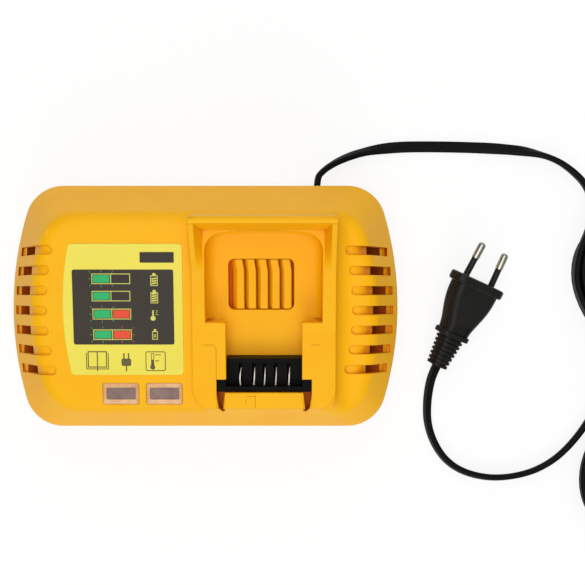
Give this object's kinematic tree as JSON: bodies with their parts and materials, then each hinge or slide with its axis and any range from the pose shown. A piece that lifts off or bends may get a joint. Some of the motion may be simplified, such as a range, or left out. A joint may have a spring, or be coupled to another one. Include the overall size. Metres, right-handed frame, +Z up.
{
  "type": "power tool battery charger",
  "caption": "Bench charger with a sloping battery dock, status label and a fan under louvres; the mains cord lies beside it, folded in a hank, with a flat two-pin plug.",
  "frame": {"origin": "on the table under the middle of the charger's body, the cord and plug not counted", "axes": "+X to the right, along the body; +Y to the rear, where the cord leaves; +Z up"},
  "size_m": [0.3534, 0.2135, 0.0798],
  "materials": {
    "housing_yellow": "moulded ABS, fine satin texture",
    "base_yellow": "moulded ABS, fine satin texture",
    "label_film": "printed polycarbonate film",
    "lens_tan": "translucent tinted acrylic",
    "black_nylon": "glass filled nylon",
    "tinned_copper": "tinned contact strip",
    "cord_pvc": "extruded soft PVC",
    "plug_pvc": "overmoulded PVC",
    "pin_brass": "nickel plated brass",
    "tie_pvc": "coated wire tie",
    "foot_rubber": "moulded rubber",
    "board_laminate": "glass epoxy laminate, green resist",
    "zinc_screw": "zinc plated steel",
    "ferrite": "sintered ferrite",
    "winding_tape": "polyester tape over enamelled wire",
    "can_sleeve": "shrink sleeve over aluminium can",
    "box_yellow": "potted film capacitor case",
    "fuse_ceramic": "glazed ceramic tube",
    "device_epoxy": "moulded epoxy",
    "sink_aluminium": "extruded aluminium",
    "relay_case": "relay case",
    "fan_black": "moulded PBT",
    "led_epoxy": "clear epoxy",
    "lead_insulation": "PVC insulation"
  },
  "bodies": {
    "charger": {"upper_housing": "housing_yellow", "lower_housing": "base_yellow", "fan_grille": "housing_yellow", "status_label": "label_film", "left_lens": "lens_tan", "right_lens": "lens_tan", "indicator_board": "board_laminate", "indicator_leds": "led_epoxy", "contact_block": "black_nylon", "contact_blades": "tinned_copper", "fan_frame": "fan_black", "fan_screws": "zinc_screw", "main_board": "board_laminate", "board_screws": "zinc_screw", "transformer_core": "ferrite", "transformer_winding": "winding_tape", "bulk_capacitor": "can_sleeve", "output_capacitors": "can_sleeve", "line_choke": "winding_tape", "film_capacitor": "box_yellow", "line_fuse": "fuse_ceramic", "bridge_rectifier": "device_epoxy", "line_heat_sink": "sink_aluminium", "output_heat_sink": "sink_aluminium", "power_transistors": "device_epoxy", "output_relay": "relay_case", "housing_screws": "zinc_screw", "rubber_feet": "foot_rubber", "cord_grommet": "cord_pvc", "cord_clamp": "black_nylon", "clamp_screws": "zinc_screw", "mains_leads": "lead_insulation", "output_leads": "lead_insulation", "cord_lead": "cord_pvc", "cord_hank": "cord_pvc", "cord_tail": "cord_pvc", "cord_tie": "tie_pvc", "plug_body": "plug_pvc", "plug_boot": "plug_pvc", "plug_pins": "pin_brass", "pin_sleeves": "plug_pvc"},
    "fan": {"fan_rotor": "fan_black"}
  },
  "joints": [
    {"name": "fan_spin", "type": "hinge", "parent": "charger", "child": "fan", "pos_m": [0.0297, 0.01233, 0.03591], "axis": [0, -0.1478, 0.989], "continuous": true}
  ]
}
